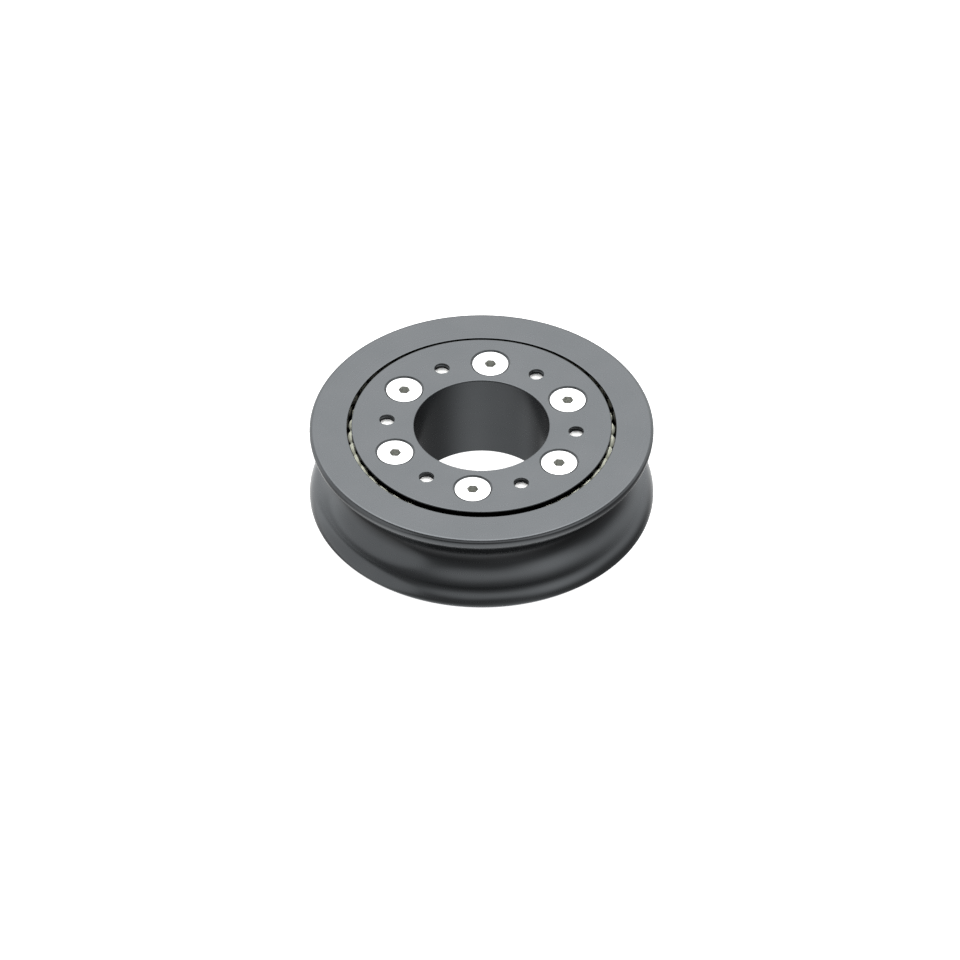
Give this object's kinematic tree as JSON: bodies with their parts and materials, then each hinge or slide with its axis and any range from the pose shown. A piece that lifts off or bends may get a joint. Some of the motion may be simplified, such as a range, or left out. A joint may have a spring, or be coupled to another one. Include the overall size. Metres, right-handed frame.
{
  "type": "sheave",
  "caption": "Round rope sheave with a U groove and rolled lips, turning on rows of plastic balls round a wide-bored split hub held by countersunk screws.",
  "frame": {"origin": "centre of the part, on the bore's axis, at the plane where the two hub halves meet", "axes": "+Z along the bore's axis, X through one of the upper face's countersunk screws"},
  "size_m": [0.098, 0.098, 0.0268],
  "materials": {
    "anodised_sheave": "dark grey hard anodising, satin",
    "anodised_hub": "dark grey hard anodising, satin",
    "stainless_screws": "polished stainless steel",
    "plastic_balls": "smooth cream acetal"
  },
  "bodies": {
    "hub": {"upper_hub_half": "anodised_hub", "lower_hub_half": "anodised_hub", "upper_screws": "stainless_screws", "lower_screws": "stainless_screws"},
    "sheave": {"sheave": "anodised_sheave"},
    "upper_balls": {"upper_balls": "plastic_balls"},
    "lower_balls": {"lower_balls": "plastic_balls"}
  },
  "joints": [
    {"name": "sheave_spin", "type": "hinge", "parent": "hub", "child": "sheave", "pos_m": [0, 0, 0], "axis": [0, 0, 1], "continuous": true},
    {"name": "upper_balls_roll", "type": "hinge", "parent": "hub", "child": "upper_balls", "pos_m": [0, 0, 0.00925], "axis": [0, 0, 1], "continuous": true},
    {"name": "lower_balls_roll", "type": "hinge", "parent": "hub", "child": "lower_balls", "pos_m": [0, 0, -0.00925], "axis": [0, 0, 1], "continuous": true}
  ],
  "couplings": [
    {"joint": "upper_balls_roll", "follows": "sheave_spin", "ratio": 0.5236},
    {"joint": "lower_balls_roll", "follows": "sheave_spin", "ratio": 0.5236}
  ]
}
